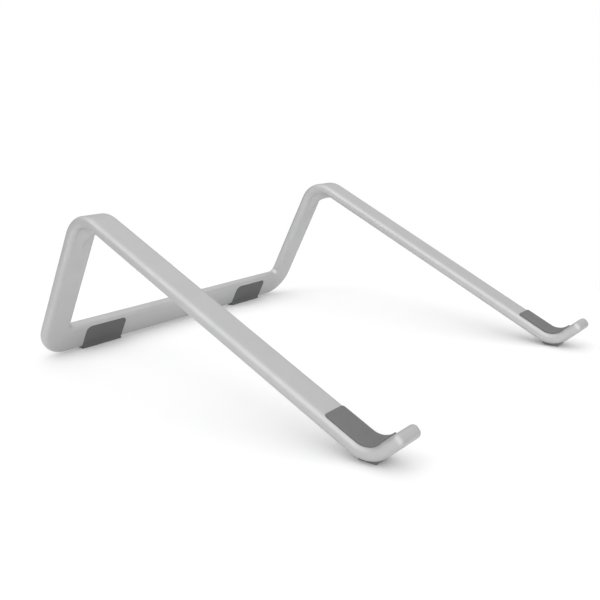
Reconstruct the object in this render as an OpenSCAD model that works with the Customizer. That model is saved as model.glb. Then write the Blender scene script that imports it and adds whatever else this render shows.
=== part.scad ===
// Laptop stand bent from one aluminium plate, with rubber pads and feet.
// The plate is a wide U: a crossbar behind, two uprights that lean forward, and two
// arms that slope down to the front and end in upturned hooks.
// Origin: middle of the stand, on the desk. +X is the user's right, +Z is up and
// the user sits on the -Y side.

/* [Overall] */
// Width across the outer sides of the two arms
stand_w = 265; // [200:1:330]
// Straight length of each arm, from the top bend to the hook bend
arm_len = 213; // [160:1:270]
// Slope of the arms, down towards the user, in degrees
arm_slope = 25.5; // [14:0.5:34]
// Lean of the uprights, forward at the top, in degrees
upright_lean = 27; // [10:0.5:36]

/* [Bar] */
// Width of each arm and upright
bar_w = 20; // [16:0.5:28]
// Thickness of the plate
bar_t = 7.5; // [6.2:0.1:9.5]
// Rounding radius of all the long edges
edge_r = 2.9; // [1:0.1:3]
// Height of the crossbar, measured in the plane of the plate
crossbar_h = 22.3; // [19:0.1:30]
// Radius of the two lower corners, in the plane of the plate
corner_r = 22; // [6:0.5:26]
// Radius of the inner corners between the uprights and the crossbar
inner_corner_r = 3.6; // [2:0.1:10]

/* [Bends] */
// Inner radius of the top bends
top_bend_r = 13.7; // [8:0.1:20]
// Inner radius of the hook bends
hook_bend_r = 12.4; // [8:0.1:18]
// Rise of the lips above the horizontal, in degrees
lip_rise = 42; // [20:0.5:60]
// Straight length of each lip, after the hook bend
lip_len = 13.5; // [10:0.5:26]

/* [Gussets] */
// Distance from the corner of the top bend to the end of its pressed gusset
gusset_leg = 25.5; // [20:0.5:32]
// Angle at which the gusset's crest meets the bar, in degrees
gusset_meet = 3; // [2:0.5:12]
// Width of the gusset's flat crest
gusset_crest_w = 1.6; // [0.8:0.1:4]
// Slope of the gusset's two flanks, in degrees
gusset_flank = 42; // [30:1:50]

/* [Arm pads] */
// Distance from the side of the bar to the side of its pad
pad_margin = 2; // [1.2:0.1:4]
// Length of the pad on the arm, before the hook bend
pad_on_arm = 21; // [10:0.5:60]
// Length of the pad on the lip, after the hook bend
pad_on_lip = 1; // [1:0.1:7]
// Thickness of the pad
pad_t = 1.4; // [1:0.1:3]
// Depth of the seat that holds the pad
pad_seat_d = 0.6; // [0.3:0.1:1]
// Radius of the pad's corners, seen from above; on the lip its length there limits it
pad_corner_r = 1.8; // [1:0.1:5]

/* [Rear feet] */
// Distance from the outer side of the stand to the rear foot
rear_foot_inset = 35.5; // [26:0.5:50]
// Length of the rear foot along the crossbar
rear_foot_l = 35.5; // [20:0.5:45]
// Distance from the crossbar's upper edge down to the rear foot's walls
rear_foot_drop = 3.1; // [3.1:0.1:9]
// Depth of the seat that holds the rear foot
rear_seat_d = 1; // [0.5:0.1:1.4]
// How far the rear foot's walls stand out of the bar
rear_proud = 0.15; // [0.05:0.05:0.6]
// Radius of the rear foot's upper corners
rear_corner_r = 4.2; // [1:0.1:8]
// Distance from each end of the rear foot to the end of its sole
rear_sole_inset = 0.4; // [0.2:0.1:2]
// Height of the bar above the desk at the crossbar
rear_gap = 1.6; // [1:0.1:4]

/* [Front feet] */
// Length of the front foot, front to back
front_foot_l = 13; // [10:0.5:24]
// Distance from the side of the bar to the side of its front foot
front_foot_margin = 5; // [1.2:0.1:7]
// Height of the bar above the desk at the hooks
front_gap = 2.4; // [1.4:0.1:4]
// Chamfer of the front foot's lower edges, front and back
front_foot_chamfer = 1.5; // [0.2:0.1:2]

/* [Fits] */
// Thickness of the adhesive film under each pad and foot
film_t = 0.2; // [0.1:0.05:0.4]
// Distance from the edge of a pad or foot to the edge of its film
film_margin = 0.6; // [0.3:0.1:2]
// Clearance around a pad or foot in its seat
seat_gap = 0.15; // [0.05:0.05:0.4]

/* [Hidden] */
$fn = 96;
LEFT = -1;
RIGHT = 1;
METAL = "silver";
RUBBER = "dimgray";
FILM = "whitesmoke";
// Reach of the cutting shapes past what they cut
past = 5;
// A bent length laps into the straight lengths on both sides, by this angle in degrees,
// and is smaller by this step all round, so that they join as one solid
lap = 1;
seam = 0.01;
// The edge bands of the plate overlap its flat core by this much
overlap = 0.5;
// Each lower corner of the plate keeps at least this straight length beside its arc
corner_keep = 1;
// Depth to which the gussets reach into the bar
bite = 1;
// The pad's corners take up at most this share of its length on the arm and on the lip
corner_share = 0.9;

// The side view is a path in [forward, up]. An angle is that of the path above the
// horizontal: along() runs with it, and out() points to its upper or rear side.
function along(angle) = [cos(angle), sin(angle)];
function out(angle) = [-sin(angle), cos(angle)];

plate_angle = 90 - upright_lean;
top_turn = plate_angle + arm_slope;
hook_turn = arm_slope + lip_rise;
top_mid_r = top_bend_r + bar_t / 2;
hook_mid_r = hook_bend_r + bar_t / 2;
core_t = bar_t / 2 - edge_r;

// Lower end of the plate, high enough for its rounded edge to clear the desk
plate_z = rear_gap + edge_r - edge_r * cos(upright_lean) + core_t * sin(upright_lean);
// Straight length of the uprights, which brings the hooks down to their own height
hook_z = front_gap + bar_t / 2 + hook_mid_r * (1 - cos(arm_slope));
drop = hook_z + arm_len * sin(arm_slope);
upright_len = (drop - top_mid_r * (cos(arm_slope) - sin(upright_lean)) - plate_z)
    / cos(upright_lean);

// The path from the lower end of the plate, before it is centred front to back
foot_0 = [0, plate_z];
top_0 = foot_0 + upright_len * along(plate_angle);
top_centre_0 = top_0 - top_mid_r * out(plate_angle);
arm_0 = top_centre_0 + top_mid_r * out(-arm_slope);
hook_0 = arm_0 + arm_len * along(-arm_slope);
hook_centre_0 = hook_0 + hook_mid_r * out(-arm_slope);
lip_0 = hook_centre_0 - hook_mid_r * out(lip_rise);
tip_0 = lip_0 + (lip_len - edge_r) * along(lip_rise);
front_0 = (tip_0 - core_t * out(lip_rise))[0] + edge_r;
rear_0 = (foot_0 + edge_r * along(plate_angle) + core_t * out(plate_angle))[0]
    - edge_r - rear_proud;
shift = [-(front_0 + rear_0) / 2, 0];

plate_start = foot_0 + shift;
top_centre = top_centre_0 + shift;
arm_start = arm_0 + shift;
hook_start = hook_0 + shift;
hook_centre = hook_centre_0 + shift;
lip_start = lip_0 + shift;

arm_x = stand_w / 2 - bar_w / 2;
corner_w = bar_w + inner_corner_r;
corner_h = crossbar_h + inner_corner_r;
outer_r = min(corner_r, corner_w - corner_keep, corner_h - corner_keep);
pad_w = bar_w - 2 * pad_margin;
front_foot_w = bar_w - 2 * front_foot_margin;
rear_foot_h = crossbar_h - rear_foot_drop;
rear_foot_x = stand_w / 2 - rear_foot_inset - rear_foot_l / 2;
pad_base = bar_t / 2 - pad_seat_d;

// Corner of the inner faces at the top bend, and the arc of the gusset's crest
top_corner = top_centre + top_bend_r / cos(top_turn / 2) * out(plate_angle - top_turn / 2);
crest_half = top_turn / 2 - gusset_meet;
crest_r = gusset_leg * cos(top_turn / 2) / sin(crest_half);
crest_drop = gusset_leg * sin(top_turn / 2) + crest_r * cos(crest_half);
crest_centre = top_corner - crest_drop * out(plate_angle - top_turn / 2);

// ---- placing ----

// Turns a shape so that its X stays, its Y points out of the bar and its Z runs along it
module on_path(point, angle) {
    translate([0, -point[0], point[1]])
        rotate([90 - angle, 0, 0])
            children();
}

// Sweeps a flat shape of [distance from centre, sideways] through a turn, which starts
// at an angle from the outward direction of the path
module bend(centre, angle, from, turn) {
    on_path(centre, angle)
        rotate([90, 0, 90])
            rotate([0, 0, from - lap])
                rotate_extrude(angle = turn + 2 * lap)
                    children();
}

// Extrudes a side view of [forward, up] across the stand, centred on x = 0
module across(width) {
    rotate([90, 0, -90])
        linear_extrude(height = width, center = true)
            children();
}

module arm_side(side) {
    translate([side * arm_x, 0, 0])
        children();
}

// ---- flat shapes ----

module rounded_rect(w, h, r) {
    square([w - 2 * r, h], center = true);
    square([w, h - 2 * r], center = true);
    for (x = [-1, 1], y = [-1, 1])
        translate([x * (w / 2 - r), y * (h / 2 - r)])
            circle(r);
}

// Reaches from x = 0 to x = w with rounded corners at x = w only
module half_rounded(w, h, r) {
    translate([0, -h / 2])
        square([w - r, h]);
    translate([0, -h / 2 + r])
        square([w, h - 2 * r]);
    for (y = [-1, 1])
        translate([w - r, y * (h / 2 - r)])
            circle(r);
}

// Outline with a square lower edge at y = 0 and rounded corners at the top
module topped(w, h, r) {
    translate([-w / 2, 0])
        square([w, h - r]);
    translate([-w / 2 + r, 0])
        square([w - 2 * r, h]);
    for (x = [-1, 1])
        translate([x * (w / 2 - r), h - r])
            circle(r);
}

// ---- frame ----

module bar_section() {
    rounded_rect(bar_w, bar_t, edge_r);
}

module bent_section(mid_r) {
    translate([mid_r, 0])
        rounded_rect(bar_t - 2 * seam, bar_w - 2 * seam, edge_r - seam);
}

// A strip along an edge, its rounded edge at x = 0 and its body at x < 0
module edge_band() {
    band = edge_r + 2 * overlap;
    translate([-band, 0])
        half_rounded(band, bar_t, edge_r);
}

// Lower corner of the plate, from its outer side at x = 0 and its lower end at z = 0:
// a flat core, and a rounded band along its outer and inner edges
module plate_corner() {
    core_in = edge_r + overlap;
    rotate([90, 0, 0])
        linear_extrude(height = bar_t, center = true)
            difference() {
                union() {
                    translate([outer_r, core_in])
                        square([corner_w - outer_r, corner_h - core_in]);
                    translate([core_in, outer_r])
                        square([corner_w - core_in, corner_h - outer_r]);
                    intersection() {
                        square(outer_r);
                        translate([outer_r, outer_r])
                            circle(outer_r - core_in);
                    }
                }
                translate([corner_w, corner_h])
                    circle(inner_corner_r + core_in);
            }
    translate([outer_r, 0, outer_r])
        rotate([90, 0, 0])
            rotate([0, 0, 180])
                rotate_extrude(angle = 90)
                    translate([outer_r, 0])
                        edge_band();
    translate([outer_r, 0, 0])
        rotate([0, 90, 0])
            linear_extrude(height = corner_w - outer_r)
                edge_band();
    translate([0, 0, outer_r])
        linear_extrude(height = corner_h - outer_r)
            rotate(180)
                edge_band();
    translate([corner_w, 0, corner_h])
        rotate([90, 0, 0])
            rotate([0, 0, 180])
                rotate_extrude(angle = 90)
                    translate([inner_corner_r, 0])
                        rotate(180)
                            edge_band();
}

module plate() {
    on_path(plate_start, plate_angle) {
        translate([corner_w - stand_w / 2, 0, crossbar_h / 2])
            rotate([0, 90, 0])
                linear_extrude(height = stand_w - 2 * corner_w)
                    rounded_rect(crossbar_h, bar_t, edge_r);
        for (side = [LEFT, RIGHT])
            mirror([side == LEFT ? 0 : 1, 0, 0])
                translate([-stand_w / 2, 0, 0]) {
                    plate_corner();
                    translate([bar_w / 2, 0, corner_h])
                        linear_extrude(height = upright_len - corner_h)
                            bar_section();
                }
    }
}

// Rounded end of a lip, from its last full section at z = 0
module lip_tip() {
    intersection() {
        translate([-bar_w / 2, -bar_t / 2, 0])
            cube([bar_w, bar_t, edge_r]);
        union() {
            cube([bar_w - 2 * edge_r, bar_t - 2 * edge_r, 2 * edge_r], center = true);
            for (y = [-1, 1])
                translate([0, y * core_t, 0])
                    rotate([0, 90, 0])
                        cylinder(r = edge_r, h = bar_w - 2 * edge_r, center = true);
            for (x = [-1, 1])
                translate([x * (bar_w / 2 - edge_r), 0, 0]) {
                    rotate([90, 0, 0])
                        cylinder(r = edge_r, h = 2 * core_t, center = true);
                    for (y = [-1, 1])
                        translate([0, y * core_t, 0])
                            sphere(edge_r);
                }
        }
    }
}

module arm() {
    bend(top_centre, plate_angle, 0, top_turn)
        bent_section(top_mid_r);
    on_path(arm_start, -arm_slope)
        linear_extrude(height = arm_len)
            bar_section();
    bend(hook_centre, -arm_slope, 180 - hook_turn, hook_turn)
        bent_section(hook_mid_r);
    on_path(lip_start, lip_rise) {
        linear_extrude(height = lip_len - edge_r)
            bar_section();
        translate([0, 0, lip_len - edge_r])
            lip_tip();
    }
}

// Pressed rib inside the top bend: a ridge along an arc, bounded by the faces of the bar
module gusset() {
    half_angle = top_turn / 2;
    leg_0 = top_corner + gusset_leg * along(plate_angle + 180);
    leg_1 = top_corner + gusset_leg * along(-arm_slope);
    deep = gusset_leg * sin(half_angle) + bite / cos(half_angle) - crest_r
        + crest_r * cos(crest_half);
    foot_w = gusset_crest_w / 2 + deep * tan(gusset_flank);
    intersection() {
        bend(crest_centre, plate_angle, half_angle - crest_half, 2 * crest_half)
            polygon([[crest_r, -gusset_crest_w / 2], [crest_r + deep, -foot_w],
                [crest_r + deep, foot_w], [crest_r, gusset_crest_w / 2]]);
        across(bar_w - 2 * edge_r)
            polygon([leg_0, leg_0 + bite * out(plate_angle),
                top_corner + bite / cos(half_angle) * out(plate_angle - half_angle),
                leg_1 + bite * out(-arm_slope), leg_1]);
    }
}

module frame() {
    color(METAL)
        difference() {
            union() {
                plate();
                for (side = [LEFT, RIGHT])
                    arm_side(side) {
                        arm();
                        gusset();
                    }
            }
            for (side = [LEFT, RIGHT]) {
                arm_side(side)
                    pad_strip(pad_base, pad_seat_d + past, seat_gap);
                rear_seat(side);
            }
        }
}

// ---- arm pads ----

// A strip that follows the arm, the hook and the lip. It starts at a height above the
// middle of the bar, and grow widens its outline all round.
module pad_strip(from, thick, grow) {
    w = pad_w + 2 * grow;
    r = pad_corner_r + grow;
    on_path(hook_start, -arm_slope)
        translate([0, from, 0])
            rotate([90, 0, 0])
                mirror([0, 0, 1])
                    linear_extrude(height = thick)
                        mirror([0, 1])
                            topped(w, pad_on_arm + grow, min(r, corner_share * (pad_on_arm + grow)));
    bend(hook_centre, -arm_slope, 180 - hook_turn, hook_turn)
        translate([hook_mid_r - from - thick / 2, 0])
            square([thick - 2 * seam, w - 2 * seam], center = true);
    on_path(lip_start, lip_rise)
        translate([0, from, 0])
            rotate([90, 0, 0])
                mirror([0, 0, 1])
                    linear_extrude(height = thick)
                        topped(w, pad_on_lip + grow, min(r, corner_share * (pad_on_lip + grow)));
}

module arm_pad(side) {
    color(RUBBER)
        arm_side(side)
            pad_strip(pad_base + film_t, pad_t, 0);
}

module arm_pad_film(side) {
    color(FILM)
        arm_side(side)
            pad_strip(pad_base, film_t, -film_margin);
}

// ---- rear feet ----

// Section of the crossbar in [out of the plate, up the plate], grown all round
module crossbar_section(grow) {
    translate([0, crossbar_h / 2])
        rounded_rect(bar_t + 2 * grow, crossbar_h + 2 * grow, edge_r + grow);
}

// Outline of the rear foot seen square to the plate, from below the crossbar
module rear_outline(grow) {
    rotate([90, 0, 0])
        linear_extrude(height = 2 * (bar_t + past), center = true)
            translate([0, -past])
                topped(rear_foot_l + 2 * grow, rear_foot_h + past + grow, rear_corner_r + grow);
}

// Keeps what lies inside the rear foot's outline, at its place along the crossbar
module rear_place(side, grow) {
    translate([side * rear_foot_x, 0, 0])
        on_path(plate_start, plate_angle)
            intersection() {
                rotate([90, 0, 90])
                    linear_extrude(height = rear_foot_l + 2 * grow, center = true)
                        children();
                rear_outline(grow);
            }
}

module rear_seat(side) {
    rear_place(side, seat_gap)
        difference() {
            crossbar_section(past);
            crossbar_section(-rear_seat_d);
        }
}

// The sole under the crossbar, as a side view: flat on the desk, its ends leaning with
// the plate, and its upper corners inside the foot
module rear_sole() {
    heel = plate_start + edge_r * along(plate_angle) + core_t * out(plate_angle);
    toe = plate_start + edge_r * along(plate_angle) - core_t * out(plate_angle);
    reach = edge_r - rear_seat_d / 2;
    polygon([heel - [reach, 0], [heel[0] - reach, 0], [toe[0] + reach, 0], toe + [reach, 0]]);
}

module rear_foot(side) {
    color(RUBBER)
        difference() {
            union() {
                rear_place(side, 0)
                    crossbar_section(rear_proud);
                translate([side * rear_foot_x, 0, 0])
                    across(rear_foot_l - 2 * rear_sole_inset)
                        rear_sole();
            }
            on_path(plate_start, plate_angle)
                rotate([90, 0, 90])
                    linear_extrude(height = 2 * stand_w, center = true)
                        crossbar_section(film_t - rear_seat_d);
        }
}

module rear_foot_film(side) {
    color(FILM)
        rear_place(side, -film_margin)
            difference() {
                crossbar_section(film_t - rear_seat_d);
                crossbar_section(-rear_seat_d);
            }
}

// ---- front feet ----

// Side view of the space under a hook, down to a height and to a length either way
module under_hook(gap, length, floor_z) {
    difference() {
        translate([hook_centre[0] - length / 2, floor_z])
            square([length, hook_centre[1] - hook_bend_r - bar_t / 2 - floor_z]);
        translate(hook_centre)
            circle(hook_bend_r + bar_t + gap);
    }
}

module front_foot(side) {
    color(RUBBER)
        arm_side(side)
            across(front_foot_w)
                difference() {
                    under_hook(film_t, front_foot_l, 0);
                    for (end = [-1, 1])
                        translate([hook_centre[0] + end * front_foot_l / 2, 0])
                            rotate(45)
                                square(front_foot_chamfer * sqrt(2), center = true);
                }
}

module front_foot_film(side) {
    color(FILM)
        arm_side(side)
            across(front_foot_w - 2 * film_margin)
                intersection() {
                    under_hook(0, front_foot_l - 2 * film_margin, 0);
                    translate(hook_centre)
                        circle(hook_bend_r + bar_t + film_t);
                }
}

frame();
arm_pad(LEFT);  // left_arm_pad
arm_pad(RIGHT);  // right_arm_pad
front_foot(LEFT);  // left_front_foot
front_foot(RIGHT);  // right_front_foot
rear_foot(LEFT);  // left_rear_foot
rear_foot(RIGHT);  // right_rear_foot
arm_pad_film(LEFT);  // left_arm_pad_film
arm_pad_film(RIGHT);  // right_arm_pad_film
front_foot_film(LEFT);  // left_front_foot_film
front_foot_film(RIGHT);  // right_front_foot_film
rear_foot_film(LEFT);  // left_rear_foot_film
rear_foot_film(RIGHT);  // right_rear_foot_film
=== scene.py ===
"""Laptop stand bent from one aluminium plate, with rubber pads and feet.

The bare CAD plate, pads and feet are stood for by finished pieces: a bead-blasted bar with
soft edges and pressed gussets, moulded pads in the hooks, and moulded feet. All is in metres,
with +X to the user's right, the user on the -Y side and +Z up.
"""

import logging
import math
from dataclasses import dataclass, field
from enum import Enum

import bmesh
import bpy
import numpy as np
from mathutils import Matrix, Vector


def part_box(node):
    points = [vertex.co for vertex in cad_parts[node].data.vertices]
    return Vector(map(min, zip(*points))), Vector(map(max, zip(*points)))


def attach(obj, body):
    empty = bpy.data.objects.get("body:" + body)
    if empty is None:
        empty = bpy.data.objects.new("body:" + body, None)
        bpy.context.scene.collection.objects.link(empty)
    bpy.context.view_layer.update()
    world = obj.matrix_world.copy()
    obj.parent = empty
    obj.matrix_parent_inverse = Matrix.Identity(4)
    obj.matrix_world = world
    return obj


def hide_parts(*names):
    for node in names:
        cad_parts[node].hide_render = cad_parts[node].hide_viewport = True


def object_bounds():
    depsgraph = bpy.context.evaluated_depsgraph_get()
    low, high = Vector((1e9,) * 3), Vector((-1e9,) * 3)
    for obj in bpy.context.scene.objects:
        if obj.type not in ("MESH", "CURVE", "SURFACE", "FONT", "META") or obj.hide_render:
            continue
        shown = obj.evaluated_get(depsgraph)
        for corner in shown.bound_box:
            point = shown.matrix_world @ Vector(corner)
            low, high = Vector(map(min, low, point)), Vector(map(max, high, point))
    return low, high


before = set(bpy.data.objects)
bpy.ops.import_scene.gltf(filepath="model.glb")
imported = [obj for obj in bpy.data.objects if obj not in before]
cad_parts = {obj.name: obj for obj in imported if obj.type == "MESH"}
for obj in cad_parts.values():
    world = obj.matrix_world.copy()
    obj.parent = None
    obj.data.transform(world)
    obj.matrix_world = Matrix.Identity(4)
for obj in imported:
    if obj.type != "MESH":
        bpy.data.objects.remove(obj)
cad_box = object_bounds()

LOG = logging.getLogger("laptop_stand")
MM = 0.001
WELD = 0.002 * MM
LEAST_RADIUS = 0.05 * MM
NOISE_RANGE = (0.3, 0.7)
SPECK_SHARE = 0.4
Layers = list[tuple[float, float]]


class Side(Enum):
    """The two sides of the stand, as the user sees them."""

    LEFT = -1
    RIGHT = 1

    @property
    def word(self) -> str:
        """The side's name as it starts the names of its pieces."""
        return self.name.lower()


# ---- paths and plain shapes ----


def heading(angle: float) -> np.ndarray:
    """Unit [forward, up] vector at an angle above the horizontal, in degrees."""
    return np.array([math.cos(math.radians(angle)), math.sin(math.radians(angle))])


def outward(angle: float) -> np.ndarray:
    """Unit [forward, up] vector a quarter turn anticlockwise from heading(angle)."""
    return np.array([-math.sin(math.radians(angle)), math.cos(math.radians(angle))])


def in_space(x: float, point: np.ndarray) -> np.ndarray:
    """Point in space from its X and its [forward, up] in the side view."""
    return np.array([x, -point[0], point[1]])


@dataclass
class Path:
    """A line in the side view made of straight lengths and arcs.

    Attributes:
        start: first point, as [forward, up].
        angle: direction at the start, in degrees above the horizontal.
        pieces: length and turn in degrees of each stretch, anticlockwise turns positive.
    """

    start: np.ndarray
    angle: float
    pieces: list[tuple[float, float]] = field(default_factory=list)

    def straight(self, length: float) -> "Path":
        """Adds a straight length."""
        self.pieces.append((length, 0.0))
        return self

    def turn(self, degrees: float, radius: float) -> "Path":
        """Adds an arc of that radius, anticlockwise if the turn is positive."""
        self.pieces.append((abs(math.radians(degrees)) * radius, degrees))
        return self

    def joints(self) -> list[float]:
        """Distance along the path at which each stretch starts, and the whole length."""
        return [0.0, *np.cumsum([length for length, _ in self.pieces])]

    def at(self, distance: float) -> tuple[np.ndarray, float]:
        """Point and direction at a distance along the path.

        Args:
            distance: metres from the start.

        Returns:
            The point as [forward, up], and the direction in degrees.
        """
        point, angle, left = self.start.astype(float), self.angle, distance
        for number, (length, turn) in enumerate(self.pieces):
            last = number == len(self.pieces) - 1
            step = left if last else min(left, length)
            if turn:
                part = turn * step / length
                radius = length / math.radians(turn)
                point = point + radius * (outward(angle) - outward(angle + part))
                angle += part
            else:
                point = point + step * heading(angle)
            left -= step
            if left <= 0:
                break
        return point, angle

    def stations(self, first: float, last: float, step: float, fine: float) -> list[float]:
        """Distances at which to place rings.

        Args:
            first: where the stations start.
            last: where they end.
            step: longest step on straight stretches.
            fine: longest step on arcs.

        Returns:
            Distances from first to last, with one at each joint between stretches.
        """
        found = [first]
        ends = self.joints()
        for (_, turn), low, high in zip(self.pieces, ends, ends[1:]):
            low, high = max(low, first), min(high, last)
            if high - low > 1e-9:
                count = math.ceil((high - low) / (fine if turn else step) - 1e-6)
                found += list(np.linspace(low, high, count + 1))[1:]
        return found


class Shape:
    """A mesh in the making: points, faces and the object that they become."""

    def __init__(self) -> None:
        self.points: list[np.ndarray] = []
        self.faces: list[tuple[int, ...]] = []

    def loop(self, points: list[np.ndarray]) -> list[int]:
        """Adds points and returns their numbers."""
        first = len(self.points)
        self.points += points
        return list(range(first, first + len(points)))

    def bridge(self, low: list[int], high: list[int]) -> None:
        """Joins two closed loops of the same length with a band of quads."""
        for here in range(len(low)):
            following = (here + 1) % len(low)
            self.faces.append((low[here], low[following], high[following], high[here]))

    def ladder(self, left: list[int], right: list[int]) -> None:
        """Fills the strip between two rows of the same length with quads."""
        for here in range(len(left) - 1):
            self.faces.append((left[here], left[here + 1], right[here + 1], right[here]))

    def build(self, name: str, crease: float = 35.0) -> bpy.types.Object:
        """Makes the object, with its doubled points merged and its faces turned outwards.

        Args:
            name: the object's name.
            crease: edges that turn by more than this angle in degrees stay sharp.

        Returns:
            The new object, linked to the scene.
        """
        mesh = bpy.data.meshes.new(name)
        mesh.from_pydata([tuple(p) for p in self.points], [], self.faces)
        work = bmesh.new()
        work.from_mesh(mesh)
        bmesh.ops.remove_doubles(work, verts=work.verts, dist=WELD)
        bmesh.ops.recalc_face_normals(work, faces=work.faces)
        work.to_mesh(mesh)
        work.free()
        piece = bpy.data.objects.new(name, mesh)
        bpy.context.scene.collection.objects.link(piece)
        smooth(piece, crease)
        return piece


def smooth(piece: bpy.types.Object, crease: float) -> None:
    """Shades a piece smooth, apart from edges sharper than crease degrees."""
    piece.data.shade_smooth()
    piece.data.set_sharp_from_angle(angle=math.radians(crease))


def freeze(piece: bpy.types.Object) -> None:
    """Applies all the modifiers of a piece to its mesh."""
    graph = bpy.context.evaluated_depsgraph_get()
    made = bpy.data.meshes.new_from_object(
        piece.evaluated_get(graph), preserve_all_data_layers=True, depsgraph=graph
    )
    old = piece.data
    piece.modifiers.clear()
    piece.data = made
    made.name = piece.name
    bpy.data.meshes.remove(old)


def combine(piece: bpy.types.Object, tool: bpy.types.Object, operation: str) -> None:
    """Joins a tool to a piece or cuts it out of it, and removes the tool.

    Args:
        piece: the object that is changed.
        tool: the object that is added or taken away.
        operation: UNION or DIFFERENCE.
    """
    boolean = piece.modifiers.new("cut", "BOOLEAN")
    boolean.operation = operation
    boolean.solver = "EXACT"
    boolean.object = tool
    freeze(piece)
    bpy.data.objects.remove(tool)


def soften(piece: bpy.types.Object, radius: float, crease: float = 35.0) -> None:
    """Rounds the sharp edges of a piece."""
    bevel = piece.modifiers.new("soft_edges", "BEVEL")
    bevel.width = radius
    bevel.segments = 3
    bevel.limit_method = "ANGLE"
    bevel.angle_limit = math.radians(crease)
    freeze(piece)


def settle_normals(piece: bpy.types.Object, crease: float = 35.0) -> None:
    """Shades large faces flat and only the roundings between them smooth."""
    smooth(piece, crease)
    weigh = piece.modifiers.new("flat_faces", "WEIGHTED_NORMAL")
    weigh.keep_sharp = True
    weigh.weight = 100
    freeze(piece)


def prism(name: str, outline: list[np.ndarray], x_low: float, x_high: float) -> bpy.types.Object:
    """Solid with one side view all the way across.

    Args:
        name: the object's name.
        outline: corners of the side view as [forward, up], in order.
        x_low: lower end in X.
        x_high: upper end in X.

    Returns:
        The new object.
    """
    shape = Shape()
    low = shape.loop([in_space(x_low, p) for p in outline])
    high = shape.loop([in_space(x_high, p) for p in outline])
    shape.bridge(low, high)
    shape.faces += [tuple(low), tuple(high)]
    return shape.build(name)


@dataclass
class Strip:
    """A flat strip with rounded corners, laid along a path.

    Attributes:
        path: the line that it follows.
        first: distance along the path at which it starts.
        last: distance along the path at which it ends.
        width: width across, in X.
        corner: radius of its first two corners, seen square to it.
        last_corner: radius of its last two corners.
    """

    path: Path
    first: float
    last: float
    width: float
    corner: float
    last_corner: float
    corner_steps: int = 8
    straight_step: float = 3 * MM
    arc_step: float = 0.8 * MM

    def outline(self, inset: float) -> list[tuple[float, float]]:
        """Distance along the path and half the width at each station of the outline.

        Args:
            inset: how far the outline lies inside the full one.

        Returns:
            Pairs of distance and half width, from the first end to the last.
        """
        half = self.width / 2 - inset
        body = self.path.stations(
            self.first + self.corner,
            self.last - self.last_corner,
            self.straight_step,
            self.arc_step,
        )
        starts = [(self.first + a, w) for a, w in self.round_end(self.corner, half, inset)]
        ends = [(self.last - a, w) for a, w in self.round_end(self.last_corner, half, inset)]
        return starts + [(s, half) for s in body[1:-1]] + ends[::-1]

    def round_end(self, corner: float, half: float, inset: float) -> list[tuple[float, float]]:
        """Distance from one end and half the width there, over its rounded corners.

        Args:
            corner: radius of the corners on the full outline.
            half: half the width behind the corners.
            inset: how far the outline lies inside the full one.

        Returns:
            Pairs of distance and half width, from the end inwards.
        """
        radius = max(corner - inset, LEAST_RADIUS)
        rows = []
        for step in range(self.corner_steps + 1):
            turn = math.pi / 2 * step / self.corner_steps
            along = inset + radius * (1 - math.cos(turn))
            rows.append((along, half - radius * (1 - math.sin(turn))))
        return rows

    def build(self, name: str, x: float, layers: Layers) -> bpy.types.Object:
        """Makes the strip as a closed solid.

        Args:
            name: the object's name.
            x: where its middle lies in X.
            layers: height above the path and inset of each layer, from the bottom up.

        Returns:
            The new object.
        """
        shape = Shape()
        rings = []
        for height, inset in layers:
            left, right = [], []
            for distance, half in self.outline(inset):
                point, angle = self.path.at(distance)
                point = point + height * outward(angle)
                left.append(in_space(x - half, point))
                right.append(in_space(x + half, point))
            rings.append(shape.loop(left + right[::-1]))
        for low, high in zip(rings, rings[1:]):
            shape.bridge(low, high)
        for ring in (rings[0], rings[-1]):
            half_way = len(ring) // 2
            shape.ladder(ring[:half_way], ring[half_way:][::-1])
        return shape.build(name)


def rounded_layers(low: float, high: float, foot: float, brow: float, steps: int = 6) -> Layers:
    """Layers of a strip with a chamfered lower edge and a rounded upper one.

    Args:
        low: height of the underside.
        high: height of the top.
        foot: size of the lower chamfer.
        brow: radius of the upper edge.
        steps: number of steps in the rounding.

    Returns:
        Height and inset of each layer.
    """
    layers = [(low, foot), (low + foot, 0.0)] if foot else [(low, 0.0)]
    for step in range(steps + 1):
        turn = math.pi / 2 * step / steps
        layers.append((high - brow * (1 - math.sin(turn)), brow * (1 - math.cos(turn))))
    return layers


# ---- finishes ----


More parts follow.
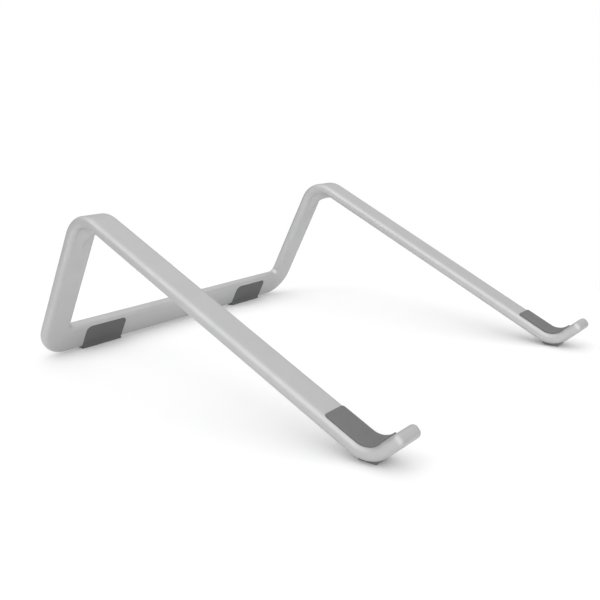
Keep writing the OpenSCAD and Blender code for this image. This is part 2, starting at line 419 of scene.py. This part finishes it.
@dataclass(frozen=True)
class Finish:
    """A surface finish with its own grain, from nodes.

    Attributes:
        slot: the record's material slot.
        colour: mean colour, linear.
        mottle: share by which the colour varies over the surface.
        mottle_size: size of that variation, in metres.
        rough: lowest and highest roughness.
        grain: size of the fine grain, in metres.
        relief: height of the grain, in metres.
    """

    slot: str
    colour: tuple[float, float, float]
    mottle: float = 0.03
    mottle_size: float = 20 * MM
    rough: tuple[float, float] = (0.5, 0.6)
    grain: float = 0.3 * MM
    relief: float = 0.01 * MM

    def noise(self, tree: bpy.types.NodeTree, size: float, detail: float) -> bpy.types.NodeSocket:
        """Noise of about that size in metres, as the socket of its value."""
        place = tree.nodes.new("ShaderNodeTexCoord")
        texture = tree.nodes.new("ShaderNodeTexNoise")
        texture.inputs["Scale"].default_value = 1 / size
        texture.inputs["Detail"].default_value = detail
        tree.links.new(place.outputs["Object"], texture.inputs["Vector"])
        return texture.outputs["Fac"]

    def spread(
        self, tree: bpy.types.NodeTree, value: bpy.types.NodeSocket, low: float, high: float
    ) -> bpy.types.NodeSocket:
        """Spreads a noise over a range.

        Args:
            tree: the node tree.
            value: socket of the noise.
            low: what the noise's low end becomes.
            high: what its high end becomes.

        Returns:
            The socket of the result.
        """
        span = tree.nodes.new("ShaderNodeMapRange")
        span.inputs["From Min"].default_value, span.inputs["From Max"].default_value = NOISE_RANGE
        span.inputs["To Min"].default_value = low
        span.inputs["To Max"].default_value = high
        tree.links.new(value, span.inputs["Value"])
        return span.outputs["Result"]

    def paint(self, tree: bpy.types.NodeTree, shader: bpy.types.Node) -> None:
        """Colours the surface, a little lighter and darker from place to place."""
        cloud = self.noise(tree, self.mottle_size, 3.0)
        speck = self.noise(tree, self.grain * 2, 2.0)
        blend = tree.nodes.new("ShaderNodeMix")
        blend.inputs["Factor"].default_value = SPECK_SHARE
        tree.links.new(cloud, blend.inputs["A"])
        tree.links.new(speck, blend.inputs["B"])
        scale = self.spread(tree, blend.outputs["Result"], 1 - self.mottle, 1 + self.mottle)
        tint = tree.nodes.new("ShaderNodeVectorMath")
        tint.operation = "SCALE"
        tint.inputs[0].default_value = self.colour
        tree.links.new(scale, tint.inputs["Scale"])
        tree.links.new(tint.outputs["Vector"], shader.inputs["Base Color"])

    def roughen(self, tree: bpy.types.NodeTree, shader: bpy.types.Node) -> None:
        """Varies the roughness and raises the grain."""
        patches = self.noise(tree, self.mottle_size / 3, 4.0)
        tree.links.new(self.spread(tree, patches, *self.rough), shader.inputs["Roughness"])
        bump = tree.nodes.new("ShaderNodeBump")
        bump.inputs["Strength"].default_value = 1.0
        bump.inputs["Distance"].default_value = self.relief
        tree.links.new(self.noise(tree, self.grain, 2.0), bump.inputs["Height"])
        tree.links.new(bump.outputs["Normal"], shader.inputs["Normal"])

    def set_constants(self, shader: bpy.types.Node) -> None:
        """Sets what is the same all over the surface."""
        shader.inputs["Specular IOR Level"].default_value = 0.5

    def material(self) -> bpy.types.Material:
        """The finished material, made once for each slot."""
        known = bpy.data.materials.get("finish_" + self.slot)
        if known:
            return known
        made = bpy.data.materials.new("finish_" + self.slot)
        made.use_nodes = True
        tree = made.node_tree
        shader = tree.nodes["Principled BSDF"]
        self.paint(tree, shader)
        self.roughen(tree, shader)
        self.set_constants(shader)
        return made

    def dress(self, piece: bpy.types.Object) -> None:
        """Puts the material on a piece, as its only one."""
        piece.data.materials.clear()
        piece.data.materials.append(self.material())


@dataclass(frozen=True)
class BlastedAluminium(Finish):
    """Aluminium that was blasted with fine beads and then anodised clear."""

    def set_constants(self, shader: bpy.types.Node) -> None:
        """Makes it a metal."""
        shader.inputs["Metallic"].default_value = 1.0


@dataclass(frozen=True)
class Silicone(Finish):
    """Soft moulded silicone rubber with a dry skin."""

    sheen: float = 0.03

    def set_constants(self, shader: bpy.types.Node) -> None:
        """Gives it the low gloss and faint bloom of silicone."""
        shader.inputs["IOR"].default_value = 1.41
        shader.inputs["Sheen Weight"].default_value = self.sheen
        shader.inputs["Sheen Roughness"].default_value = 0.6


ALUMINIUM = BlastedAluminium(
    slot="anodised_aluminium",
    colour=(0.54, 0.54, 0.545),
    mottle=0.02,
    mottle_size=30 * MM,
    rough=(0.56, 0.64),
    grain=0.25 * MM,
    relief=0.006 * MM,
)
PAD_RUBBER = Silicone(
    slot="pad_rubber",
    colour=(0.135, 0.135, 0.138),
    mottle=0.05,
    mottle_size=8 * MM,
    rough=(0.55, 0.68),
    grain=0.3 * MM,
    relief=0.02 * MM,
)
FRONT_FOOT_RUBBER = Silicone(
    slot="front_foot_rubber",
    colour=(0.16, 0.16, 0.163),
    mottle=0.05,
    mottle_size=6 * MM,
    rough=(0.6, 0.72),
    grain=0.3 * MM,
    relief=0.02 * MM,
)
REAR_FOOT_RUBBER = Silicone(
    slot="rear_foot_rubber",
    colour=(0.105, 0.105, 0.107),
    mottle=0.05,
    mottle_size=8 * MM,
    rough=(0.6, 0.72),
    grain=0.3 * MM,
    relief=0.02 * MM,
)
ADHESIVE = Finish(
    slot="adhesive_film",
    colour=(0.7, 0.7, 0.68),
    mottle=0.06,
    mottle_size=5 * MM,
    rough=(0.3, 0.5),
    grain=0.5 * MM,
    relief=0.01 * MM,
)


# ---- the bar ----


@dataclass
class Bar:
    """Sizes of the bent bar, and the line that its middle follows in the side view.

    Widths and places are taken from the CAD nodes. Angles are in degrees.
    """

    slope: float = 25.5
    lean: float = 27.0
    thickness: float = 7.5 * MM
    edge: float = 2.9 * MM
    crossbar_height: float = 22.3 * MM
    outer_corner: float = 22 * MM
    inner_corner: float = 3.6 * MM
    top_inner_radius: float = 13.7 * MM
    hook_inner_radius: float = 12.4 * MM
    lip_rise: float = 42.0
    lip_length: float = 13.5 * MM
    arm_length: float = 213 * MM

    def __post_init__(self) -> None:
        """Works out the places that follow from the sizes and the CAD nodes."""
        low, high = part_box("frame")
        pad_low, pad_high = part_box("right_arm_pad")
        foot_low, foot_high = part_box("right_front_foot")
        self.half_width = high.x
        self.arm_x = (pad_low.x + pad_high.x) / 2
        self.width = 2 * (self.half_width - self.arm_x)
        self.core = self.thickness / 2 - self.edge
        self.plate_angle = 90 - self.lean
        self.top_turn = self.plate_angle + self.slope
        self.hook_turn = self.slope + self.lip_rise
        self.top_radius = self.top_inner_radius + self.thickness / 2
        self.hook_radius = self.hook_inner_radius + self.thickness / 2
        hook_forward = -(foot_low.y + foot_high.y) / 2
        top_up = high.z - self.thickness / 2 - self.top_radius
        arm_rise = self.arm_length * math.sin(math.radians(self.slope))
        arm_end_up = top_up + self.top_radius * math.cos(math.radians(self.slope)) - arm_rise
        hook_up = arm_end_up + self.hook_radius * math.cos(math.radians(self.slope))
        self.hook_centre = np.array([hook_forward, hook_up])
        self.hook_start = self.hook_centre - self.hook_radius * outward(-self.slope)
        arm_start = self.hook_start - self.arm_length * heading(-self.slope)
        self.top_centre = arm_start - self.top_radius * outward(-self.slope)
        top_start = self.top_centre + self.top_radius * outward(self.plate_angle)
        lowest = low.z + self.edge + self.core * math.cos(math.radians(self.plate_angle))
        self.upright = self.upright_length(top_start, lowest)
        self.plate_start = top_start - self.upright * heading(self.plate_angle)

    def upright_length(self, top_start: np.ndarray, lowest: float) -> float:
        """Straight length of the upright, from its lower end to the top bend.

        Args:
            top_start: where the top bend starts, as [forward, up].
            lowest: height of the centre of the plate's lower front rounding.

        Returns:
            The length in metres.
        """
        climb = top_start[1] - lowest
        return climb / math.sin(math.radians(self.plate_angle)) + self.edge

    def path(self) -> Path:
        """The line of the bar's middle, from the lower end of the plate to the lip's end."""
        line = Path(self.plate_start, self.plate_angle)
        line.straight(self.upright).turn(-self.top_turn, self.top_radius)
        line.straight(self.arm_length).turn(self.hook_turn, self.hook_radius)
        return line.straight(self.lip_length)

    def on_plate(self, x: float, up: float) -> np.ndarray:
        """Point in space in the middle of the plate, at a height along it."""
        return in_space(x, self.plate_start + up * heading(self.plate_angle))


@dataclass
class Gusset:
    """Pressed rib inside a top bend.

    Attributes:
        leg: distance from the corner of the inner faces to each end of the rib.
        meet: angle at which the crest meets the bar, in degrees.
        half_base: half the rib's width at its highest.
        half_end: half its width where it fades out.
        nose: rounding of the crest.
        hollow: how much the flanks are hollowed, where 1 is straight.
        fade: how fast the rib narrows towards its ends, where 1 is evenly.
    """

    bar: Bar
    leg: float = 25.5 * MM
    meet: float = 3.0
    half_base: float = 5.8 * MM
    half_end: float = 2.5 * MM
    nose: float = 0.6 * MM
    hollow: float = 1.55
    fade: float = 0.6

    def __post_init__(self) -> None:
        """Works out the arc of the crest."""
        half = math.radians(self.bar.top_turn / 2)
        middle = outward(self.bar.plate_angle - self.bar.top_turn / 2)
        corner = self.bar.top_centre + self.bar.top_inner_radius / math.cos(half) * middle
        open_half = half - math.radians(self.meet)
        self.radius = self.leg * math.cos(half) / math.sin(open_half)
        drop = self.leg * math.sin(half) + self.radius * math.cos(open_half)
        self.centre = corner - drop * middle
        self.highest = drop - self.radius - self.bar.top_inner_radius * (1 / math.cos(half) - 1)

    def crest(self, point: np.ndarray, normal: np.ndarray) -> float:
        """Height of the crest over a point on the bar's inner face.

        Args:
            point: the point, as [forward, up].
            normal: unit vector out of the inner face.

        Returns:
            Height in metres, 0 past the ends of the rib.
        """
        away = point - self.centre
        b = float(away @ normal)
        c = float(away @ away) - self.radius**2
        if c <= 0 or b * b <= c:
            return 0.0
        return max(0.0, -b - math.sqrt(b * b - c))

    def height(self, crest: float, sideways: float) -> float:
        """Height of the rib beside its crest.

        Args:
            crest: height of the crest there.
            sideways: distance from the middle of the bar.

        Returns:
            Height in metres.
        """
        if crest <= 0:
            return 0.0
        share = (crest / self.highest) ** self.fade
        half = self.half_end + (self.half_base - self.half_end) * min(share, 1.0)
        nose = self.nose * min(share, 1.0)
        off = math.sqrt(sideways**2 + nose**2) - nose
        return crest * max(0.0, 1 - off / (half - nose / 2)) ** self.hollow


@dataclass
class Ring:
    """One section of the bar: its outer and inner edges, and how they are rounded."""

    outer: np.ndarray
    inner: np.ndarray
    into_outer: np.ndarray
    into_inner: np.ndarray
    face: np.ndarray
    half: float
    edge: float
    ridge: float = 0.0


@dataclass
class AluminiumFrame:
    """The one bent plate: crossbar, uprights, arms, hooks and gussets.

    Attributes:
        bar: its sizes and line.
        face_steps: columns of faces across the flat of the bar.
        edge_steps: steps in each rounded edge.
        spare: straight length left beside each lower corner.
        run_out: length past the ends of the rib that has close sections too.
    """

    bar: Bar
    face_steps: int = 30
    edge_steps: int = 7
    long_step: float = 8 * MM
    fine_step: float = 0.7 * MM
    arc_steps: int = 30
    spare: float = 1.5 * MM
    run_out: float = 2 * MM

    def section(self, ring: Ring, gusset: Gusset) -> list[np.ndarray]:
        """Points round one section, from the outer edge of the upper face.

        Args:
            ring: the section.
            gusset: the rib that may stand on its lower face.

        Returns:
            The points, in order.
        """
        core = ring.half - ring.edge
        centre_outer = ring.outer + ring.into_outer * ring.edge
        centre_inner = ring.inner + ring.into_inner * ring.edge
        across = centre_inner - centre_outer
        middle = (ring.outer + ring.inner) / 2
        points = []
        for step in range(self.face_steps + 1):
            share = step / self.face_steps
            points.append(centre_outer + across * share + ring.face * ring.half)
        turns = [math.pi / 2 * s / self.edge_steps for s in range(self.edge_steps + 1)]
        for turn in reversed(turns[:-1]):
            lift = ring.face * (core + ring.edge * math.sin(turn))
            points.append(centre_inner - ring.into_inner * ring.edge * math.cos(turn) + lift)
        for turn in turns[:-1]:
            lift = ring.face * (core + ring.edge * math.sin(turn))
            points.append(centre_inner - ring.into_inner * ring.edge * math.cos(turn) - lift)
        for step in range(self.face_steps + 1):
            share = 1 - step / self.face_steps
            point = centre_outer + across * share
            rise = gusset.height(ring.ridge, float(np.linalg.norm(point - middle)))
            points.append(point - ring.face * (ring.half + rise))
        for turn in reversed(turns[:-1]):
            lift = ring.face * (core + ring.edge * math.sin(turn))
            points.append(centre_outer - ring.into_outer * ring.edge * math.cos(turn) - lift)
        for turn in turns[:-1]:
            lift = ring.face * (core + ring.edge * math.sin(turn))
            points.append(centre_outer - ring.into_outer * ring.edge * math.cos(turn) + lift)
        return points

    def arm_ring(self, point: np.ndarray, angle: float, inset: float, ridge: float) -> Ring:
        """Section of the upright, the arm or the lip.

        Args:
            point: middle of the bar, as [forward, up].
            angle: direction of the bar there, in degrees.
            inset: how much smaller the section is all round, at a rounded end.
            ridge: height of the gusset's crest there.

        Returns:
            The ring.
        """
        bar = self.bar
        half = bar.width / 2 - inset
        side = np.array([1.0, 0.0, 0.0])
        return Ring(
            outer=in_space(bar.arm_x + half, point),
            inner=in_space(bar.arm_x - half, point),
            into_outer=-side,
            into_inner=side,
            face=in_space(0.0, outward(angle)),
            half=bar.thickness / 2 - inset,
            edge=bar.edge - inset,
            ridge=ridge,
        )

    def arm_rings(self, gusset: Gusset) -> list[Ring]:
        """Sections from the lip's rounded end down to just above the lower corner."""
        bar = self.bar
        path = bar.path()
        ends = path.joints()
        rings = []
        tip = ends[-1] - bar.edge
        for step in range(self.edge_steps):
            turn = math.pi / 2 * (1 - step / self.edge_steps)
            point, angle = path.at(tip + bar.edge * math.sin(turn))
            rings.append(self.arm_ring(point, angle, bar.edge * (1 - math.cos(turn)), 0.0))
        reach = gusset.leg - bar.top_inner_radius * math.tan(math.radians(bar.top_turn / 2))
        low, high = ends[1] - reach - self.run_out, ends[2] + reach + self.run_out
        foot = bar.crossbar_height + bar.inner_corner + self.spare
        places = path.stations(foot, low, self.long_step, self.fine_step)[:-1]
        places += path.stations(low, high, self.fine_step, self.fine_step)[:-1]
        places += path.stations(high, tip, self.long_step, self.fine_step)
        for distance in reversed(places):
            point, angle = path.at(distance)
            normal = -outward(angle)
            ridge = gusset.crest(point + normal * bar.thickness / 2, normal)
            inside = low < distance < high
            rings.append(self.arm_ring(point, angle, 0.0, ridge if inside else 0.0))
        return rings

    def corner_rings(self) -> list[Ring]:
        """Sections round the lower corner, from the upright to the crossbar."""
        bar = self.bar
        up = in_space(0.0, heading(bar.plate_angle))
        side = np.array([1.0, 0.0, 0.0])
        outer = bar.on_plate(bar.half_width - bar.outer_corner, bar.outer_corner)
        inner = bar.on_plate(
            bar.half_width - bar.width - bar.inner_corner, bar.crossbar_height + bar.inner_corner
        )
        rings = []
        for step in range(self.arc_steps + 1):
            turn = math.pi / 2 * step / self.arc_steps
            away = side * math.cos(turn) - up * math.sin(turn)
            rings.append(
                Ring(
                    outer=outer + away * bar.outer_corner,
                    inner=inner + away * bar.inner_corner,
                    into_outer=-away,
                    into_inner=away,
                    face=in_space(0.0, outward(bar.plate_angle)),
                    half=bar.thickness / 2,
                    edge=bar.edge,
                )
            )
        return rings

    def crossbar_rings(self) -> list[Ring]:
        """Sections of the crossbar, from the corner to the middle of the stand."""
        bar = self.bar
        up = in_space(0.0, heading(bar.plate_angle))
        start = bar.half_width - bar.width - bar.inner_corner - self.spare
        count = math.ceil(start / self.long_step)
        rings = []
        for x in np.linspace(start, 0.0, count + 1):
            rings.append(
                Ring(
                    outer=bar.on_plate(x, 0.0),
                    inner=bar.on_plate(x, bar.crossbar_height),
                    into_outer=up,
                    into_inner=-up,
                    face=in_space(0.0, outward(bar.plate_angle)),
                    half=bar.thickness / 2,
                    edge=bar.edge,
                )
            )
        return rings

    def sweep(self) -> bpy.types.Object:
        """The whole bar without its seats, as one closed mesh."""
        gusset = Gusset(self.bar)
        rings = self.arm_rings(gusset) + self.corner_rings() + self.crossbar_rings()
        right = [self.section(ring, gusset) for ring in rings]
        mirror = np.array([-1.0, 1.0, 1.0])
        left = [[p * mirror for p in section] for section in reversed(right[:-1])]
        shape = Shape()
        loops = [shape.loop(section) for section in right + left]
        for here, following in zip(loops, loops[1:]):
            shape.bridge(here, following)
        for end in (loops[0], loops[-1]):
            columns = self.face_steps + 1
            lower = columns + 2 * self.edge_steps
            shape.ladder(end[:columns], end[lower : lower + columns][::-1])
        return shape.build("aluminium_frame")

    def build(self, seats: list[bpy.types.Object]) -> bpy.types.Object:
        """Makes the frame and cuts the seats of the pads and feet into it."""
        piece = self.sweep()
        for seat in seats:
            combine(piece, seat, "DIFFERENCE")
        settle_normals(piece, 40.0)
        return piece

    def dress(self, piece: bpy.types.Object) -> None:
        """Gives the frame its finish and puts it in the CAD plate's place."""
        ALUMINIUM.dress(piece)
        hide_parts("frame")
        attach(piece, "root")


# ---- rubber pieces ----


@dataclass
class ArmPad:
    """The rubber pad along one hook, from the arm to the lip, and the seat that holds it."""

    bar: Bar
    side: Side
    on_arm: float = 21 * MM
    on_lip: float = 1 * MM
    thickness: float = 1.4 * MM
    seat_depth: float = 0.6 * MM
    film: float = 0.2 * MM
    gap: float = 0.15 * MM
    corner: float = 1.8 * MM
    lip_corner_share: float = 0.9
    foot: float = 0.08 * MM
    brow: float = 0.55 * MM
    cut_past: float = 3 * MM

    def __post_init__(self) -> None:
        """Reads the pad's width and place from its CAD node."""
        low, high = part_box(self.node)
        self.x = (low.x + high.x) / 2
        self.width = high.x - low.x

    @property
    def node(self) -> str:
        """Name of the CAD node."""
        return f"{self.side.word}_arm_pad"

    def strip(self, grow: float) -> Strip:
        """The pad's outline, grown all round."""
        ends = self.bar.path().joints()
        return Strip(
            path=self.bar.path(),
            first=ends[3] - self.on_arm - grow,
            last=ends[4] + self.on_lip + grow,
            width=self.width + 2 * grow,
            corner=self.corner + grow,
            last_corner=self.lip_corner_share * (self.on_lip + grow),
        )

    def seat(self) -> bpy.types.Object:
        """The shape that is cut out of the bar to seat the pad."""
        floor = self.bar.thickness / 2 - self.seat_depth
        above = self.bar.thickness / 2 + self.cut_past
        layers = [(floor, 0.0), (above, 0.0)]
        return self.strip(self.gap).build(f"{self.node}_seat", self.x, layers)

    def build(self) -> bpy.types.Object:
        """Makes the pad, with softly rounded upper edges."""
        floor = self.bar.thickness / 2 - self.seat_depth + self.film
        layers = rounded_layers(floor, floor + self.thickness, self.foot, self.brow)
        piece = self.strip(0.0).build(f"{self.side.word}_pad", self.x, layers)
        settle_normals(piece)
        return piece

    def dress(self, piece: bpy.types.Object) -> None:
        """Gives the pad its finish and puts it in the CAD pad's place."""
        PAD_RUBBER.dress(piece)
        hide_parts(self.node)
        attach(piece, "root")


@dataclass
class RearFoot:
    """The rubber channel round the crossbar's lower edge, with its flat sole."""

    bar: Bar
    side: Side
    height: float = 19.2 * MM
    seat_depth: float = 1 * MM
    film: float = 0.2 * MM
    proud: float = 0.15 * MM
    gap: float = 0.15 * MM
    corner: float = 4.2 * MM
    sole_inset: float = 0.4 * MM
    sole_edge: float = 0.3 * MM
    brow: float = 0.1 * MM
    arc_step: float = 0.35 * MM
    step_out: float = 0.02 * MM
    seam: float = 0.01 * MM
    past: float = 1 * MM

    def __post_init__(self) -> None:
        """Reads the foot's length and place from its CAD node."""
        low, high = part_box(self.node)
        self.x = (low.x + high.x) / 2
        self.length = high.x - low.x

    @property
    def node(self) -> str:
        """Name of the CAD node."""
        return f"{self.side.word}_rear_foot"

    def round_edge(self, above: float) -> Path:
        """Line on the crossbar's surface, down its front, round its lower edge and up its back."""
        bar = self.bar
        angle = bar.plate_angle
        start = bar.plate_start + above * heading(angle) - bar.thickness / 2 * outward(angle)
        line = Path(start, angle + 180)
        line.straight(above - bar.edge).turn(-90, bar.edge).straight(2 * bar.core)
        return line.turn(-90, bar.edge).straight(above - bar.edge)

    def strip(self, grow: float) -> Strip:
        """The outline of the channel laid flat, grown all round."""
        path = self.round_edge(self.height + grow)
        return Strip(
            path=path,
            first=0.0,
            last=path.joints()[-1],
            width=self.length + 2 * grow,
            corner=self.corner + grow,
            last_corner=self.corner + grow,
            arc_step=self.arc_step,
        )

    def seat(self) -> bpy.types.Object:
        """The shape that is cut out of the crossbar to seat the foot."""
        layers = [(-self.seat_depth, 0.0), (2 * self.past, 0.0)]
        return self.strip(self.gap).build(f"{self.node}_seat", self.x, layers)

    def sole_outline(self) -> list[np.ndarray]:
        """Side view of the sole, flat on the desk, its upper corners inside the channel."""
        bar = self.bar
        centre = bar.plate_start + bar.edge * heading(bar.plate_angle)
        reach = np.array([bar.edge - self.seat_depth / 2, 0.0])
        heel = centre + bar.core * outward(bar.plate_angle) - reach
        toe = centre - bar.core * outward(bar.plate_angle) + reach
        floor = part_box(self.node)[0].z
        return [heel, np.array([heel[0], floor]), np.array([toe[0], floor]), toe]

    def core_outline(self, steps: int = 8) -> list[np.ndarray]:
        """Side view of the crossbar's core, which the foot goes round.

        Args:
            steps: steps in each of its two lower roundings.

        Returns:
            Corners of the outline.
        """
        depth = self.seat_depth - self.film - self.seam
        path = self.round_edge(self.height + self.past)
        places = path.stations(0.0, path.joints()[-1], 1.0, self.bar.edge * math.pi / 2 / steps)
        found = []
        for distance in places:
            point, angle = path.at(distance)
            found.append(point - depth * outward(angle))
        return found

    def build(self) -> bpy.types.Object:
        """Makes the foot as one solid: the channel and its sole."""
        inner = -self.seat_depth + self.film
        rim = rounded_layers(self.step_out, self.proud, 0.0, self.brow)
        layers = [(inner, 0.0), (0.0, 0.0), *rim]
        piece = self.strip(0.0).build(f"{self.side.word}_heel_rubber", self.x, layers)
        half = self.length / 2 - self.sole_inset
        sole = prism("sole", self.sole_outline(), self.x - half, self.x + half)
        soften(sole, self.sole_edge)
        combine(piece, sole, "UNION")
        reach = self.length / 2 + self.past
        core = prism("core", self.core_outline(), self.x - reach, self.x + reach)
        combine(piece, core, "DIFFERENCE")
        settle_normals(piece)
        return piece

    def dress(self, piece: bpy.types.Object) -> None:
        """Gives the foot its finish and puts it in the CAD foot's place."""
        REAR_FOOT_RUBBER.dress(piece)
        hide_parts(self.node)
        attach(piece, "root")


@dataclass
class FrontFoot:
    """The rubber foot under one hook, hollowed to fit the bend and flat on the desk."""

    bar: Bar
    side: Side
    film: float = 0.2 * MM
    chamfer: float = 1.5 * MM
    edge: float = 0.35 * MM
    arc_steps: int = 24

    @property
    def node(self) -> str:
        """Name of the CAD node."""
        return f"{self.side.word}_front_foot"

    def outline(self) -> list[np.ndarray]:
        """Side view of the foot: flat below, hollow above."""
        low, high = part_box(self.node)
        radius = self.bar.hook_inner_radius + self.bar.thickness + self.film
        centre = self.bar.hook_centre
        front, back = -low.y, -high.y
        raised = low.z + self.chamfer
        points = [
            np.array([front, raised]),
            np.array([front - self.chamfer, low.z]),
            np.array([back + self.chamfer, low.z]),
            np.array([back, raised]),
        ]
        for step in range(self.arc_steps + 1):
            forward = back + (front - back) * step / self.arc_steps
            rise = math.sqrt(radius**2 - (forward - centre[0]) ** 2)
            points.append(np.array([forward, centre[1] - rise]))
        return points

    def build(self) -> bpy.types.Object:
        """Makes the foot, with rounded outer edges."""
        low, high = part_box(self.node)
        piece = prism(f"{self.side.word}_toe_rubber", self.outline(), low.x, high.x)
        soften(piece, self.edge)
        settle_normals(piece)
        return piece

    def dress(self, piece: bpy.types.Object) -> None:
        """Gives the foot its finish and puts it in the CAD foot's place."""
        FRONT_FOOT_RUBBER.dress(piece)
        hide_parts(self.node)
        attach(piece, "root")


class AdhesiveFilms:
    """The thin films that hold the pads and feet, which stay as the CAD made them."""

    def dress(self) -> None:
        """Gives every film its finish."""
        for name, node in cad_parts.items():
            if name.endswith("_film"):
                node.data.materials.clear()
                node.data.materials.append(ADHESIVE.material())
                LOG.info("%s: kept from the CAD model", name)


# ---- the studio ----


@dataclass
class SoftSun:
    """A wide soft light from one direction.

    Attributes:
        name: the light's name.
        towards: direction in which it shines.
        strength: its strength, in watts per square metre.
        spread: width of the source as seen from the stand, in degrees.
    """

    name: str
    towards: tuple[float, float, float]
    strength: float
    spread: float

    def build(self) -> None:
        """Adds the light to the scene."""
        light = bpy.data.lights.new(self.name, "SUN")
        light.energy = self.strength
        light.angle = math.radians(self.spread)
        lamp = bpy.data.objects.new(self.name, light)
        lamp.rotation_euler = Vector(self.towards).to_track_quat("-Z", "Y").to_euler()
        bpy.context.scene.collection.objects.link(lamp)


@dataclass
class Studio:
    """Pale floor, pale surroundings, soft lights and the camera.

    Attributes:
        azimuth: where the camera stands, in degrees round the stand.
        elevation: how far above the horizon it stands, in degrees.
        distance: from the camera to the point that it looks at.
        aim: that point.
        lens: focal length in millimetres, on a sensor 36 mm wide.
    """

    azimuth: float = -52.30
    elevation: float = 14.09
    distance: float = 0.5486
    aim: tuple[float, float, float] = (-0.0116, 0.0075, 0.0397)
    lens: float = 47.53
    fill: float = 0.45
    backdrop: float = 1.0
    floor_size: float = 0.62

    def camera(self) -> None:
        """Places the camera."""
        turn, rise = math.radians(self.azimuth), math.radians(self.elevation)
        back = Vector(
            (
                math.sin(turn) * math.cos(rise),
                -math.cos(turn) * math.cos(rise),
                math.sin(rise),
            )
        )
        data = bpy.data.cameras.new("camera")
        data.lens = self.lens
        data.sensor_width = 36.0
        data.clip_start, data.clip_end = 0.01, 100.0
        camera = bpy.data.objects.new("camera", data)
        camera.location = Vector(self.aim) + back * self.distance
        camera.rotation_euler = (-back).to_track_quat("-Z", "Y").to_euler()
        bpy.context.scene.collection.objects.link(camera)
        bpy.context.scene.camera = camera

    def surroundings(self) -> None:
        """Makes the air pale: plain white behind, softer as a light."""
        world = bpy.data.worlds.new("pale_room")
        world.use_nodes = True
        tree = world.node_tree
        background = tree.nodes["Background"]
        seen = tree.nodes.new("ShaderNodeLightPath")
        level = tree.nodes.new("ShaderNodeMapRange")
        level.inputs["To Min"].default_value = self.fill
        level.inputs["To Max"].default_value = self.backdrop
        tree.links.new(seen.outputs["Is Camera Ray"], level.inputs["Value"])
        tree.links.new(level.outputs["Result"], background.inputs["Strength"])
        background.inputs["Color"].default_value = (1.0, 1.0, 1.0, 1.0)
        bpy.context.scene.world = world

    def floor(self) -> None:
        """Lays the floor under the stand."""
        shape = Shape()
        half = self.floor_size / 2
        level = cad_box[0].z
        corners = [(-half, -half), (half, -half), (half, half), (-half, half)]
        shape.faces.append(tuple(shape.loop([np.array([x, y, level]) for x, y in corners])))
        ground = shape.build("floor")
        paper = Finish(
            slot="floor",
            colour=(0.9, 0.9, 0.9),
            mottle=0.004,
            mottle_size=200 * MM,
            rough=(0.85, 0.95),
            grain=2 * MM,
            relief=0.01 * MM,
        )
        ground.data.materials.append(paper.material())

    def lights(self) -> None:
        """Adds the key light from the left and the light from above."""
        SoftSun("key_from_left", (0.95, 0.25, -0.15), 1.6, 120.0).build()
        SoftSun("light_from_above", (0.1, 0.2, -1.0), 1.85, 140.0).build()

    def build(self) -> None:
        """Sets up the whole studio."""
        self.camera()
        self.surroundings()
        self.floor()
        self.lights()
        bpy.context.scene.view_settings.view_transform = "Standard"
        bpy.context.scene.view_settings.look = "None"


def report(piece: bpy.types.Object) -> None:
    """Logs a finished piece and how many faces it has."""
    LOG.info("%s: %d faces", piece.name, len(piece.data.polygons))


def main() -> None:
    """Builds the studio and every piece of the stand, in order."""
    logging.basicConfig(level=logging.INFO, format="%(name)s: %(message)s")
    Studio().build()
    bar = Bar()
    pads = [ArmPad(bar, side) for side in Side]
    rear_feet = [RearFoot(bar, side) for side in Side]
    front_feet = [FrontFoot(bar, side) for side in Side]
    plate = AluminiumFrame(bar)
    piece = plate.build([holder.seat() for holder in [*pads, *rear_feet]])
    plate.dress(piece)
    report(piece)
    for part in [*pads, *rear_feet, *front_feet]:
        piece = part.build()
        part.dress(piece)
        report(piece)
    AdhesiveFilms().dress()


if __name__ == "__main__":
    main()
